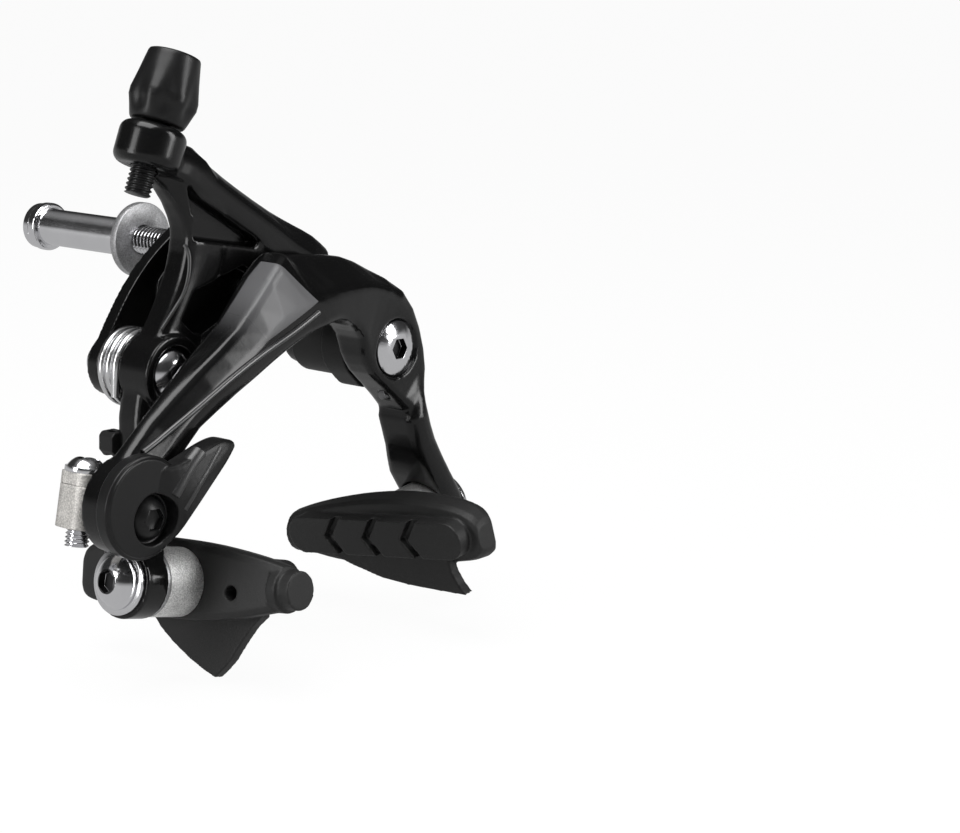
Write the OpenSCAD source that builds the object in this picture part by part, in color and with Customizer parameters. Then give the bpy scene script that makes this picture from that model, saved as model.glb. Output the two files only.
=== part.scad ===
// Dual-pivot caliper brake for a bicycle, in its resting, open position.
// X points right seen from the front, Y points back towards the fork, Z points up.
// The origin lies on the centre bolt's axis, on the bracket's rear face.

/* [Bracket and pivots] */
// Distance between the two pivot axes
pivot_spread = 56; // [54:0.5:58]
// How far the pivots lie below the centre bolt
pivot_drop = 20.3; // [19:0.1:21.5]
// Thickness of the bracket's legs
leg_t = 3.1; // [2.8:0.1:4]
// Radius of the bracket's ends
leg_end_r = 6.4; // [6:0.1:7.4]
// Radius of the bracket's centre boss
hub_r = 9; // [8:0.1:10]
// How far the legs are set in front of the mounting face
leg_setback = 3.9; // [3:0.1:4.5]

/* [Centre bolt and nut] */
// Thread diameter of the centre bolt
centre_bolt_d = 6; // [5:0.1:6.5]
// Diameter of the centre bolt's head
centre_head_d = 11; // [10:0.5:12]
// Thickness of the centre bolt's head
centre_head_h = 4; // [3:0.1:4.5]
// Outer diameter of the sleeve nut
nut_d = 7.9; // [7.5:0.1:8.5]
// Length of the sleeve nut without its flange
nut_len = 27; // [20:1:32]
// Diameter of the sleeve nut's flange
nut_flange_d = 10.4; // [9.5:0.1:12]
// Thickness of the sleeve nut's flange
nut_flange_t = 4.2; // [3:0.1:5]
// Outer diameter of the mounting washer
washer_d = 15.8; // [14:0.2:18]
// Thickness of the mounting washer
washer_t = 1.8; // [1:0.1:2.5]
// Gap left between the bracket and the washer for the fork
washer_gap = 16.4; // [10:0.2:20]

/* [Pivot bolts] */
// Diameter of the pivot bolts
pivot_d = 8; // [7:0.1:9]
// Running clearance between a pivot bolt and its bush
run_gap = 0.05; // [0.03:0.01:0.09]
// Wall of the pivot bushes
bush_wall = 1; // [0.8:0.1:1.4]
// Diameter of the left pivot bolt's domed head
left_head_d = 10.6; // [10:0.1:11.2]
// Height of the left pivot bolt's domed head
left_head_h = 3.2; // [2.6:0.1:3.6]
// Diameter of the right pivot bolt's conical head
right_head_d = 11.6; // [10.6:0.1:12.4]
// Height of the right pivot bolt's conical head
right_head_h = 1.6; // [1.2:0.1:2.2]
// Width across the flats of the hexagon sockets
hex_af = 4; // [3:0.5:4.5]

/* [Arms] */
// Angle by which each arm stands open from the closed position
open_angle = 11; // [9:0.5:13]
// Rear face of the rear arm at its pivot
rear_arm_back = -14; // [-14.6:0.1:-13.8]
// Depth of the rear arm
rear_arm_t = 7; // [6:0.1:7.5]
// Gap between the rear arm and the front arm
arm_gap = 1.6; // [1:0.1:2.5]
// Depth of the front arm at its pivot
front_arm_t = 11.4; // [10.5:0.1:12]
// Depth of the pocket in the rear arm's face
pocket_depth = 3.4; // [2.5:0.1:4]
// Radius of the eye at the front arm's cable end
cable_eye_r = 9.3; // [9:0.1:10]
// Radius of the eyes that hold the shoe bolts
shoe_eye_r = 7.1; // [7:0.1:8]
// Thickness of the eyes that hold the shoe bolts
shoe_eye_t = 5.6; // [5:0.1:6.2]

/* [Shoes] */
// Distance from the centre plane to the inner face of each shoe eye
shoe_x = 42; // [41:0.5:43]
// How far the shoe bolts lie in front of the mounting face
shoe_y = 28; // [27:0.5:29]
// How far the shoe bolts lie below the centre bolt
shoe_drop = 58; // [57:0.5:60]
// Length of each brake pad
pad_len = 61; // [58:1:64]
// Height of the braking block
pad_h = 8.2; // [7.5:0.1:9]
// Thickness of the pad from its braking face to its back
pad_t = 11; // [10:0.2:12]
// Diameter of the shoe bolts
shoe_bolt_d = 6; // [5:0.5:6]
// Pitch of the left pad about its bolt
left_pad_pitch = 7.5; // [0:0.5:10]
// Pitch of the right pad about its bolt
right_pad_pitch = 8.5; // [0:0.5:10]
// Thickness of the spherical washer
ball_washer_t = 3; // [2.6:0.1:3.4]
// Thickness of the dished seat washer
dish_washer_t = 6.6; // [6:0.1:7.2]

/* [Cable] */
// Lean of the cable adjuster from upright
adjuster_lean = 20.7; // [18:0.1:23]
// Thread diameter of the adjuster's stem
stem_d = 5.2; // [5:0.1:5.8]
// Bore for the cable housing in the adjuster's cap
housing_d = 5.2; // [5:0.1:5.4]
// Height of the adjuster's boss
boss_h = 8.4; // [8:0.2:10]
// Radius of the adjuster's boss
boss_r = 6.6; // [6.2:0.1:7.2]
// Height of the adjuster's cap
cap_h = 14; // [13:0.2:17]
// Largest radius of the adjuster's cap
cap_r = 6.9; // [6.6:0.1:7.6]

/* [Springs] */
// Wire diameter of the left return spring
left_wire_d = 1.8; // [1.5:0.1:1.9]
// Wire diameter of the right return spring
right_wire_d = 1.4; // [1.2:0.1:1.5]

/* [Hidden] */
$fn = 64;

// Clearance of threads and pressed parts in their holes
fit = 0.02;
// Places of the pivots, seen from the front
left_pivot = [-pivot_spread / 2, -pivot_drop];
right_pivot = [pivot_spread / 2, -pivot_drop];
// Depths, from the mounting face at 0 towards the front
leg_back = -leg_setback;
leg_front = leg_back - leg_t;
boss_front = leg_front - 2;
rear_arm_front = rear_arm_back - rear_arm_t;
front_arm_back = rear_arm_front - arm_gap;
front_arm_front = front_arm_back - front_arm_t;
// Seats of the two pivot bolts' heads
left_seat = rear_arm_front + 0.2;
right_seat = front_arm_front + 4;
// Where the pivot bolts' threads end behind the bracket
thread_end = leg_back + 3.2;
pivot_r = pivot_d / 2;
pivot_thread_r = pivot_r - 0.5;
bush_r = pivot_r + run_gap + bush_wall;
left_spacer_r = pivot_r + 1.4;
right_spacer_r = pivot_r + 0.6;
// Mean radii of the return springs, and the bore of the right one's cover
left_coil_r = left_spacer_r + 0.8 + left_wire_d / 2;
right_coil_r = right_spacer_r + 0.3 + right_wire_d / 2;
cover_bore_r = right_coil_r + right_wire_d / 2 + 0.3;
// Quick-release axis and the eye and the disc around it
release_axis = right_pivot + [-76.6, -22.7];
eye_centre = release_axis + [-0.2, 1.6];
disc_centre = release_axis + [-1.7, 2.4];
disc_r = cable_eye_r + 0.6;
eye_back = front_arm_back - 5.8;
eye_front = front_arm_front - 0.4;
lever_back = eye_front - 0.3;
lever_t = 3.2;
tail_t = 5.8;
release_r = 3;
release_tip_r = 2.5;
// Cable anchor behind the eye
anchor_centre = release_axis + [-2.5, 1.8];
anchor_back = eye_back + 8.1;
anchor_front = eye_back + 0.5;
release_depth = 6.2;
anchor_lean = 10;
anchor_w = 13;
anchor_low = -5.3;
anchor_h = 8.2;
anchor_plate_t = 2.4;
clamp_x = -2.8;
clamp_r = 2.3;
clamp_y = (anchor_front + anchor_back) / 2;
// Cable adjuster
boss_centre = left_pivot + [-2.5, 43.8];
boss_y = rear_arm_back - rear_arm_t / 2;
stem_below = 5.3;
cap_gap = 0.4;
// How deep the spring stop is sunk in the rear arm
stop_sunk = 0.9;
// Roller between the two arms
roller_place = [0, -8];
roller_r = 3;
roller_pin_r = 1.5;
roller_gap = 0.2;
centring_r = 1;
// Shoe bolts
shoe_bolt_r = shoe_bolt_d / 2;
pad_back = ball_washer_t + dish_washer_t;
block_z = 1.2;
ball_r = 12;
shoe_washer_r = 6.8;

// Turns a drawing in X and Y upright into X and Z, to be extruded towards the front from depth y
module upright(y) {
    translate([0, y, 0]) rotate([90, 0, 0]) children();
}

// A rod along Y at place p, from depth y1 forward to depth y2
module rod(p, y1, y2, r) {
    upright(y1) translate([p.x, p.y, 0]) cylinder(h = y1 - y2, r = r);
}

// A ring along Y
module tube(p, y1, y2, r_out, r_in) {
    difference() {
        rod(p, y1, y2, r_out);
        rod(p, y1 + 1, y2 - 1, r_in);
    }
}

// A hexagon socket of depth h, opening at z = 0 and going down
module hex_socket(h) {
    translate([0, 0, -h]) cylinder(h = h + 1, r = hex_af / 2 / cos(30), $fn = 6);
}

// Outline of two circles and the belt around them
module link_outline(c1, r1, c2, r2) {
    d = c2 - c1;
    a = atan2(d.y, d.x);
    b = acos((r1 - r2) / norm(d));
    translate(c1) circle(r1);
    translate(c2) circle(r2);
    polygon([for (e = [[c1, r1, b], [c2, r2, b], [c2, r2, -b], [c1, r1, -b]])
             e[0] + e[1] * [cos(a + e[2]), sin(a + e[2])]]);
}

// A drum along Z with rounded edges, from z = 0 to h
module round_drum(r, h, e) {
    rotate_extrude() {
        translate([0, e]) square([r, h - 2 * e]);
        square([r - e, h]);
        for (z = [e, h - e]) translate([r - e, z]) circle(e, $fn = 32);
    }
}

// A domed head along Z: flat underside at z = 0, crown at z = h
module dome(r, h) {
    ball = (r * r + h * h) / (2 * h);
    intersection() {
        cylinder(h = h, r = r);
        translate([0, 0, h - ball]) sphere(ball, $fn = 96);
    }
}

// Point at u on a smooth curve through the rows of p
function smooth(p, u) =
    let (n = len(p) - 1, i = min(floor(u), n - 1), t = u - i,
         a = i > 0 ? p[i - 1] : 2 * p[0] - p[1], b = p[i], c = p[i + 1],
         d = i + 2 <= n ? p[i + 2] : 2 * p[n] - p[n - 1])
    0.5 * (2 * b + (c - a) * t + (2 * a - 5 * b + 4 * c - d) * t * t
           + (3 * b - a - 3 * c + d) * t * t * t);

// Points that round the corner b between its neighbours a and c
function corner(a, b, c, r) =
    let (p = b + (a - b) * min(0.48, r / norm(a - b)), q = b + (c - b) * min(0.48, r / norm(c - b)))
    [for (t = [0, 0.5, 1]) (1 - t) * (1 - t) * p + 2 * t * (1 - t) * b + t * t * q];

// A ring with every corner of the polygon p rounded
function round_ring(p, r) =
    [for (i = [0 : len(p) - 1]) each corner(p[(i + len(p) - 1) % len(p)], p[i], p[(i + 1) % len(p)], r)];

// A closed skin over rings that all have the same number of points
module skin(rings) {
    n = len(rings[0]);
    m = len(rings) - 1;
    function middle(ring) = [for (p = ring) 1] * ring / len(ring);
    normal = [for (p = rings[0]) 1] * [for (j = [0 : n - 1]) cross(rings[0][j], rings[0][(j + 1) % n])];
    flip = normal * (middle(rings[1]) - middle(rings[0])) < 0;
    sides = [for (i = [0 : m - 1], j = [0 : n - 1]) let (k = (j + 1) % n, low = i * n, high = low + n)
             each [[low + j, low + k, high + k], [low + j, high + k, high + j]]];
    first = [for (j = [1 : n - 2]) [0, j + 1, j]];
    last = [for (j = [1 : n - 2]) [m * n, m * n + j, m * n + j + 1]];
    out = concat(sides, first, last);
    polyhedron(points = [for (ring = rings) each ring],
               faces = flip ? out : [for (f = out) [f[2], f[1], f[0]]]);
}

// A forged limb. Each station is [outer x, outer z, inner x, inner z, back, front at the outer edge,
// front at the ridge, front at the inner edge, place of the ridge from outer 0 to inner 1]
module limb(stations, steps, r) {
    function ring(s) =
        let (o = [s[0], s[1]], n = [s[2], s[3]], e = o + (n - o) * s[8])
        round_ring([[o.x, s[4], o.y], [o.x, s[5], o.y], [e.x, s[6], e.y], [n.x, s[7], n.y],
                    [n.x, s[4], n.y]], r);
    skin([for (i = [0 : (len(stations) - 1) * steps]) ring(smooth(stations, i / steps))]);
}

// One station of a limb, placed from the point p and from the depths back and front
function station(p, o, n, back, front, f) =
    [p.x + o.x, p.y + o.y, p.x + n.x, p.y + n.y, back, front[0], front[1], front[2], f];

// Places a shoe's pieces: side is -1 on the left and 1 on the right. Inside, X points outwards along
// the shoe bolt from the inner face of the arm's eye, Y points to the rear and Z points up
module shoe(side) {
    translate([side * shoe_x, -shoe_y, -shoe_drop]) scale([side, 1, 1]) rotate([0, -open_angle, 0])
        children();
}

// A drum along the shoe bolt, from x1 out to x2
module shoe_drum(x1, x2, r) {
    translate([x1, 0, 0]) rotate([0, 90, 0]) cylinder(h = x2 - x1, r = r);
}

// Places the adjuster's pieces: Z runs up along the cable from the middle of the boss
module adjuster() {
    translate([boss_centre.x, boss_y, boss_centre.y]) rotate([0, adjuster_lean, 0]) children();
}

// Places the cable anchor's pieces: Z runs up along the clamp screw, Y to the rear
module anchor() {
    translate([anchor_centre.x, 0, anchor_centre.y]) rotate([0, anchor_lean, 0]) children();
}

// Fixed pieces

// One leg of the bracket, from inside the centre boss to the left pivot, arched on its outer edge
module bracket_leg() {
    p = left_pivot;
    edge = [[2, hub_r - 1.2], [-6, hub_r - 0.8], [-12, hub_r - 3.2], p + [8.3, 20.6], p + [2.2, 14.2],
            p + [-3, 6.4], p + [-leg_end_r + 0.8, 1.6]];
    curve = [for (i = [0 : (len(edge) - 1) * 4]) smooth(edge, i / 4)];
    back = [p + [-1, -leg_end_r + 1], p + [leg_end_r - 1.4, -1.6], p + [13, 8.6], [2, 1.6 - hub_r]];
    polygon(concat(curve, back));
    translate(p) circle(leg_end_r);
}

module mounting_bracket() color([0.09, 0.09, 0.1]) difference() {
    union() {
        upright(leg_back) linear_extrude(leg_t) for (side = [1, -1]) scale([side, 1]) bracket_leg();
        upright(0) cylinder(h = -boss_front, r = hub_r);
        upright(leg_back - 1) linear_extrude(leg_t + 0.4) for (side = [-1, 1]) scale([side, 1])
            polygon([[-1, 7], [11, 3.4], [18.5, -4.6], [19, -9.6], [14.6, -10.4], [-1, -7]]);
    }
    rod([0, 0], 1, boss_front - 1, centre_bolt_d / 2 + fit);
    for (p = [left_pivot, right_pivot]) rod(p, 1, leg_front - 1, pivot_thread_r + fit);
}

module centre_bolt() color([0.75, 0.75, 0.76]) {
    rod([0, 0], washer_gap + washer_t + 12, boss_front, centre_bolt_d / 2);
    difference() {
        rod([0, 0], boss_front, boss_front - centre_head_h, centre_head_d / 2);
        upright(boss_front - centre_head_h) hex_socket(2.6);
    }
}

module mounting_washer() color([0.6, 0.6, 0.6]) {
    tube([0, 0], washer_gap + washer_t, washer_gap, washer_d / 2, centre_bolt_d / 2 + 0.1);
}

module sleeve_nut() color([0.78, 0.78, 0.8]) {
    seat = washer_gap + washer_t;
    difference() {
        union() {
            rod([0, 0], seat + nut_len + 0.8, seat, nut_d / 2);
            translate([0, seat + nut_len, 0]) rotate([-90, 0, 0])
                round_drum(nut_flange_d / 2, nut_flange_t * 0.55, 0.6);
            translate([0, seat + nut_len + nut_flange_t * 0.45, 0]) rotate([-90, 0, 0])
                round_drum(nut_flange_d / 2 - 0.3, nut_flange_t * 0.55, 0.6);
        }
        rod([0, 0], seat + 15, seat - 1, centre_bolt_d / 2 + fit);
        translate([0, seat + nut_len + nut_flange_t, 0]) rotate([-90, 0, 0]) hex_socket(5);
    }
}

module left_pivot_bolt() color([0.8, 0.8, 0.82]) {
    rod(left_pivot, thread_end, leg_front, pivot_thread_r);
    translate([left_pivot.x, thread_end, left_pivot.y]) rotate([-90, 0, 0]) dome(pivot_thread_r, 1.4);
    rod(left_pivot, leg_front, left_seat, pivot_r);
    difference() {
        upright(left_seat) translate([left_pivot.x, left_pivot.y, 0]) dome(left_head_d / 2, left_head_h);
        upright(left_seat - left_head_h) translate([left_pivot.x, left_pivot.y, 0]) hex_socket(1.8);
    }
}

module right_pivot_bolt() color([0.8, 0.8, 0.82]) {
    rod(right_pivot, thread_end, leg_front, pivot_thread_r);
    translate([right_pivot.x, thread_end, right_pivot.y]) rotate([-90, 0, 0]) dome(pivot_thread_r, 1.4);
    rod(right_pivot, leg_front, right_seat, pivot_r);
    upright(right_seat) translate([right_pivot.x, right_pivot.y, 0]) difference() {
        union() {
            cylinder(h = 0.5, r = right_head_d / 2);
            translate([0, 0, 0.5])
                cylinder(h = right_head_h - 0.5, r1 = right_head_d / 2, r2 = right_head_d / 4 + 0.6);
        }
        translate([0, 0, right_head_h]) hex_socket(2.2);
    }
}

module left_spacer() color([0.2, 0.2, 0.2])
    tube(left_pivot, leg_front, rear_arm_back + run_gap, left_spacer_r, pivot_r + fit);

module right_spacer() color([0.2, 0.2, 0.2])
    tube(right_pivot, leg_front, front_arm_back + run_gap, right_spacer_r, pivot_r + fit);

// Points along a coil about the place p: from depth y1 to y2, ending at the angle a_end
function coil(p, r, y1, y2, turns, a_end, per_turn) =
    [for (i = [0 : turns * per_turn]) let (t = i / (turns * per_turn), a = a_end - 360 * turns * (1 - t))
     [p.x + r * cos(a), y1 + (y2 - y1) * t, p.y + r * sin(a)]];

// A wire of radius r along the points p, with round section of n sides
module wire(p, r, n) {
    function ring(i) =
        let (d = p[min(i + 1, len(p) - 1)] - p[max(i - 1, 0)], t = d / norm(d),
             s = cross(t, [0, 1, 0]), u = s / norm(s), v = cross(u, t))
        [for (k = [0 : n - 1]) p[i] + r * (cos(360 * k / n) * u + sin(360 * k / n) * v)];
    skin([for (i = [0 : len(p) - 1]) ring(i)]);
}

module left_return_spring() color([0.8, 0.8, 0.82]) {
    r = left_coil_r;
    tip = rear_arm_back - left_wire_d / 2 + left_wire_d + 0.1;
    turns = coil(left_pivot, r, leg_front - left_wire_d / 2 - 0.05, tip, 2.6, 180, 18);
    tail = [[left_pivot.x - r, tip, left_pivot.y - 6], [left_pivot.x - r - 0.6, tip, left_pivot.y - 14.6]];
    wire(concat(turns, tail), left_wire_d / 2, 8);
}

module right_return_spring() color([0.8, 0.8, 0.82]) {
    turns = coil(right_pivot, right_coil_r, leg_front - right_wire_d / 2 - 0.05, leg_front - 6.6, 3.5, 0, 14);
    wire(turns, right_wire_d / 2, 8);
}

// Rear arm

// The arm's leg, from the adjuster boss past the left pivot down to the left shoe
module rear_leg() {
    b = rear_arm_back;
    f = rear_arm_front;
    s = [-shoe_x, -shoe_drop];
    rear_eye = -shoe_y + shoe_eye_r;
    front_eye = -shoe_y - shoe_eye_r;
    p = left_pivot;
    limb([
        station(p, [-7, 41.6], [4.2, 44.8], b, [f + 3, f + 1, f + 1.5], 0.5),
        station(p, [0.8, 35.5], [10.5, 40.8], b, [f + 2.5, f + 0.3, f + 0.6], 0.4),
        station(p, [4.6, 29.8], [14.5, 34.3], b, [f + 1, f, f], 0.3),
        station(p, [5.5, 25.8], [15.5, 25.8], b, [f + 0.8, f, f], 0.3),
        station(p, [4.4, 20.3], [14, 18.8], b, [f + 0.8, f, f], 0.3),
        station(p, [2.5, 15.8], [11.5, 12.3], b, [f + 0.8, f, f], 0.3),
        station(p, [-0.4, 10.5], [9.5, 6.3], b, [f + 0.8, f, f], 0.3),
        station(p, [-3.6, 5.8], [9, 2.3], b, [f + 0.8, f, f], 0.3),
        station(p, [-6.4, 1.3], [9.2, -0.2], b, [f + 0.8, f, f], 0.3),
        station(p, [-7.2, -3.7], [7.5, -5.2], b, [f + 0.8, f, f], 0.3),
        station(p, [-8, -8.7], [2.5, -10.2], b, [f + 0.8, f, f], 0.3),
        station(p, [-8.6, -14.2], [-1.5, -15.2], b - 1, [f, f - 2, f - 2], 0.45),
        station(s, [3.8, 18.5], [10, 16.8], b - 2.6, [f - 2.2, f - 5, f - 5], 0.5),
        station(s, [0.5, 12.5], [6.2, 11], b - 4.4, [f - 4.4, f - 8, f - 8], 0.5),
        station(s, [-2.6, 7.6], [2.9, 6.6], rear_eye + 0.6, [f - 6, f - 10.4, f - 10.4], 0.5),
        station(s, [-4.8, 3.4], [0.6, 2.4], rear_eye, [front_eye + 0.6, front_eye, front_eye], 0.5),
        station(s, [-5.7, 0], [-0.2, -1], rear_eye + 0.2, [front_eye + 0.3, front_eye + 0.2, front_eye + 0.2], 0.5),
    ], 2, 1.3);
}

// The arm's upper rail, from the adjuster boss over to the link
module rear_rail() {
    b = rear_arm_back - 0.2;
    f = rear_arm_front;
    p = left_pivot;
    limb([
        station(p, [3, 45], [-4, 40], b, [f + 3, f + 0.6, f + 0.6], 0.4),
        station(p, [8.8, 43.4], [3.5, 37], b, [f + 3.4, f + 0.2, f], 0.35),
        station(p, [14.2, 39.3], [8.8, 33.2], b, [f + 3.8, f, f], 0.35),
        station(p, [21.6, 34.7], [16.4, 28.8], b, [f + 3.8, f, f], 0.35),
        station(p, [31, 29.5], [25, 23], b, [f + 3.8, f, f], 0.35),
        station(p, [38, 26.2], [30, 17], b, [f + 3.4, f, f], 0.35),
        station(p, [43.5, 23.6], [37, 12.5], b, [f + 3, f, f], 0.35),
        station(p, [48, 20.5], [43, 11], b, [f + 3, f + 0.5, f + 0.5], 0.35),
    ], 2, 1.4);
}

// The plate between the leg and the rail, with its two pockets
module rear_web() {
    p = left_pivot;
    difference() {
        upright(rear_arm_back - 0.1) linear_extrude(rear_arm_t - 0.5) translate(p)
            polygon([[7, 38], [7.5, 30], [8, 24], [6.5, 18], [3, 10], [0, 4], [2, -8], [8, -4], [10, 1],
                     [20, 5.6], [36, 5.2], [42, 8.5], [44, 14], [36, 22], [20, 32], [11, 37]]);
        upright(rear_arm_front + pocket_depth) linear_extrude(pocket_depth + 1) translate(p) rear_pockets();
    }
}

// Outlines of the rear arm's pockets, seen from the left pivot: one over the rib and one under it
module rear_pockets() {
    polygon([[4.6, 37], [8, 33.4], [16, 29], [23, 25], [24.4, 23.8], [23.5, 22.8], [6.6, 25.6], [6.4, 30]]);
    polygon([[6.4, 15.6], [20, 19.4], [27, 16.8], [20, 10], [11, 5.8], [6.5, 7.2], [3, 10]]);
}

module rear_arm() color([0.05, 0.05, 0.055]) {
    difference() {
        union() {
            difference() {
                union() {
                    rear_leg();
                    rear_rail();
                }
                upright(rear_arm_front + pocket_depth) linear_extrude(pocket_depth + 1) translate(left_pivot)
                    rear_pockets();
            }
            rear_web();
            rod(left_pivot, rear_arm_back, left_seat - 1.4, 7.6);
            adjuster() translate([0, 0, -boss_h / 2]) round_drum(boss_r, boss_h, 2);
            shoe(-1) shoe_drum(0, shoe_eye_t, shoe_eye_r);
        }
        rod(left_pivot, rear_arm_back + 1, rear_arm_front - 3, bush_r + fit);
        rod(left_pivot, left_seat + run_gap, rear_arm_front - 3, left_head_d / 2 + 0.3);
        adjuster() translate([0, 0, -boss_h]) cylinder(h = 2 * boss_h, r = stem_d / 2 + run_gap);
        shoe(-1) shoe_drum(-1, shoe_eye_t + 1, shoe_bolt_r + fit);
        shoe(-1) shoe_drum(shoe_eye_t, shoe_eye_t + 6, shoe_eye_r + 0.6);
        shoe(-1) shoe_drum(-pad_back, 0, shoe_washer_r + 0.3);
        adjuster() translate([0, 0, boss_h / 2]) cylinder(h = cap_h, r = cap_r + 0.4);
        upright(rear_arm_back + 1) linear_extrude(1 + stop_sunk + fit) translate(left_pivot)
            offset(delta = fit) stop_outline();
    }
}

module left_bush() color([0.7, 0.6, 0.3])
    tube(left_pivot, rear_arm_back, left_seat + run_gap, bush_r, pivot_r + run_gap);

// Outline of the spring stop, seen from the left pivot
module stop_outline() {
    polygon([[-9.8, -12.2], [-9, -11.4], [-6, -11.4], [-4.8, -12.4], [-4.4, -15], [-5.6, -16.6],
             [-8.6, -16.4], [-9.8, -15]]);
}

// Plastic block sunk in the arm's leg, with a hole that the left return spring's tail rests in
module spring_stop() color([0.07, 0.07, 0.07]) difference() {
    upright(rear_arm_back + 3) linear_extrude(3 + stop_sunk) translate(left_pivot) stop_outline();
    translate([left_pivot.x - left_coil_r - 0.5, rear_arm_back + 1, left_pivot.y - 12.6]) rotate([0, 5, 0])
        cylinder(h = 12, r = left_wire_d / 2 + 0.2, center = true);
}

// Shoes

module shoe_bolt(side) color([0.82, 0.82, 0.84]) shoe(side) {
    shoe_drum(-pad_back - 5, shoe_eye_t + 1.2, shoe_bolt_r);
    translate([shoe_eye_t + 1.2, 0, 0]) rotate([0, 90, 0]) difference() {
        union() {
            dome(5.4, 3.2);
            cylinder(h = 0.6, r = 5.4);
        }
        translate([0, 0, 3.2]) hex_socket(2);
    }
}

module bolt_washer(side) color([0.75, 0.75, 0.76]) shoe(side) difference() {
    shoe_drum(shoe_eye_t, shoe_eye_t + 1.2, shoe_washer_r - 0.4);
    shoe_drum(shoe_eye_t - 1, shoe_eye_t + 2.2, shoe_bolt_r + fit);
}

module ball_washer(side) color([0.7, 0.7, 0.7]) shoe(side) difference() {
    intersection() {
        shoe_drum(-ball_washer_t, 0, shoe_washer_r);
        translate([ball_r - ball_washer_t, 0, 0]) sphere(ball_r, $fn = 96);
    }
    shoe_drum(-ball_washer_t - 1, 1, shoe_bolt_r + fit);
}

module dish_washer(side) color([0.7, 0.7, 0.7]) shoe(side) difference() {
    shoe_drum(-pad_back, -0.9, shoe_washer_r);
    translate([ball_r - ball_washer_t, 0, 0]) sphere(ball_r + fit, $fn = 96);
    shoe_drum(-pad_back - 1, 1, shoe_bolt_r + fit);
}

// Outline of the braking block in Y and Z, round at both ends. Y runs towards the pad's round end
module block_outline() {
    r = pad_h / 2;
    ends = [-pad_len * 0.36 + r, pad_len * 0.45 - r];
    for (y = ends) translate([y, block_z]) circle(r);
    translate([ends[0], block_z - r]) square([ends[1] - ends[0], pad_h]);
}

// A zigzag groove across the braking block, its point at y
module groove(y) {
    w = 2.2;
    h = pad_h / 2 + 0.5;
    translate([y, block_z]) polygon([[3.6, -h], [0, 0], [3.6, h], [3.6 + w, h], [w, 0], [3.6 + w, -h]]);
}

// Turns an outline in Y and Z into a plate from x1 out to x2
module pad_plate(x1, x2) {
    translate([x1, 0, 0]) rotate([90, 0, 90]) linear_extrude(x2 - x1) children();
}

// The pad's moulded back, high and thick behind the bolt, round at one end and with a stub at the other
module pad_body() {
    face = -pad_back - pad_t + 3.4;
    // along the pad, back, top, bottom
    rows = [[0.484, 2.6, 3.4, -2.8], [0.47, 1.7, 5, -4], [0.43, 1.2, 6.6, -5.2], [0.33, 0.7, 8, -6],
            [0.14, 0, 8.8, -7.2], [-0.05, 0, 8.3, -7.6], [-0.21, 0.4, 7.1, -6.9],
            [-0.33, 1.2, 5.8, -5.6], [-0.41, 2, 4.6, -4.6]];
    function ring(s) = let (y = pad_len * s[0])
        let (back = -pad_back - s[1])
        round_ring([[face, y, s[3] + 1], [back, y, s[3]], [back, y, s[2]], [face, y, s[2] - 0.6]], 1.8);
    skin([for (i = [0 : (len(rows) - 1) * 3]) ring(smooth(rows, i / 3))]);
}

// Outline of the blade that hangs from a pad: the points round its tip, joined to the pad's underside
module fin_outline(tip) {
    polygon(concat([[tip[0].x, -3]], tip, [[tip[len(tip) - 1].x, -3]]));
}

// The stub end points to the front on the left pad (turn = 1) and to the rear on the right one (turn = -1),
// and the stub is longer on the left one
module pad(side, turn, stub, pitch, fin)
color([0.08, 0.08, 0.08]) shoe(side) rotate([-pitch, 0, 0]) difference() {
    union() {
        scale([1, turn, 1]) {
            pad_body();
            difference() {
                pad_plate(-pad_back - pad_t, -pad_back - pad_t + 4.4) block_outline();
                for (y = [-11.4, -0.4, 10.6])
                    pad_plate(-pad_back - pad_t - 1, -pad_back - pad_t + 1.8) groove(y);
            }
            translate([-pad_back - 4.6, -pad_len * 0.37, -0.2]) rotate([90, 0, 0]) {
                cylinder(h = stub, r = 3.8);
                cylinder(h = 2.4, r = 4.5);
            }
        }
        pad_plate(-pad_back - pad_t + 2.8, -pad_back - pad_t + 5.2) fin_outline(fin);
    }
    shoe_drum(-pad_back - 5.4, 1, shoe_bolt_r + fit);
    shoe_drum(-pad_back, 1, shoe_washer_r + 1);
    translate([-pad_back - 4, -pad_len * 0.22, -1.4]) rotate([0, 90, 0]) cylinder(h = 6, r = 1.4);
}

// Seen from the outside, the left blade points down and forward and the right one lies further forward
left_fin = [[13.5, -5.8], [10.1, -9.5], [6.5, -12.2], [1.6, -15.2], [-2.5, -17.2], [-5.3, -18.3],
            [-7, -16.9], [-9.2, -14.8], [-10.6, -12.8], [-12.4, -10.4], [-14.5, -7.9], [-17, -5.8]];
right_fin = [[13.2, -4.2], [6.9, -6.6], [-0.2, -8.9], [-7.4, -10.2], [-14.6, -10.9], [-23.2, -11.7],
             [-21.7, -9.4], [-20.6, -6.8], [-20.4, -4]];

module left_shoe_bolt() shoe_bolt(-1);
module right_shoe_bolt() shoe_bolt(1);
module left_bolt_washer() bolt_washer(-1);
module right_bolt_washer() bolt_washer(1);
module left_ball_washer() ball_washer(-1);
module right_ball_washer() ball_washer(1);
module left_dish_washer() dish_washer(-1);
module right_dish_washer() dish_washer(1);
module left_pad() pad(-1, 1, 5.2, left_pad_pitch, left_fin);
module right_pad() pad(1, -1, 1.8, right_pad_pitch, right_fin);

// Cable adjuster

module adjuster_stem() color([0.06, 0.06, 0.06]) adjuster() difference() {
    low = -boss_h / 2 - stem_below;
    translate([0, 0, low]) cylinder(h = boss_h + stem_below + cap_gap + 6, r = stem_d / 2);
    translate([0, 0, low - 1]) cylinder(h = boss_h + stem_below + 12, r = 1.2);
}

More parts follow.
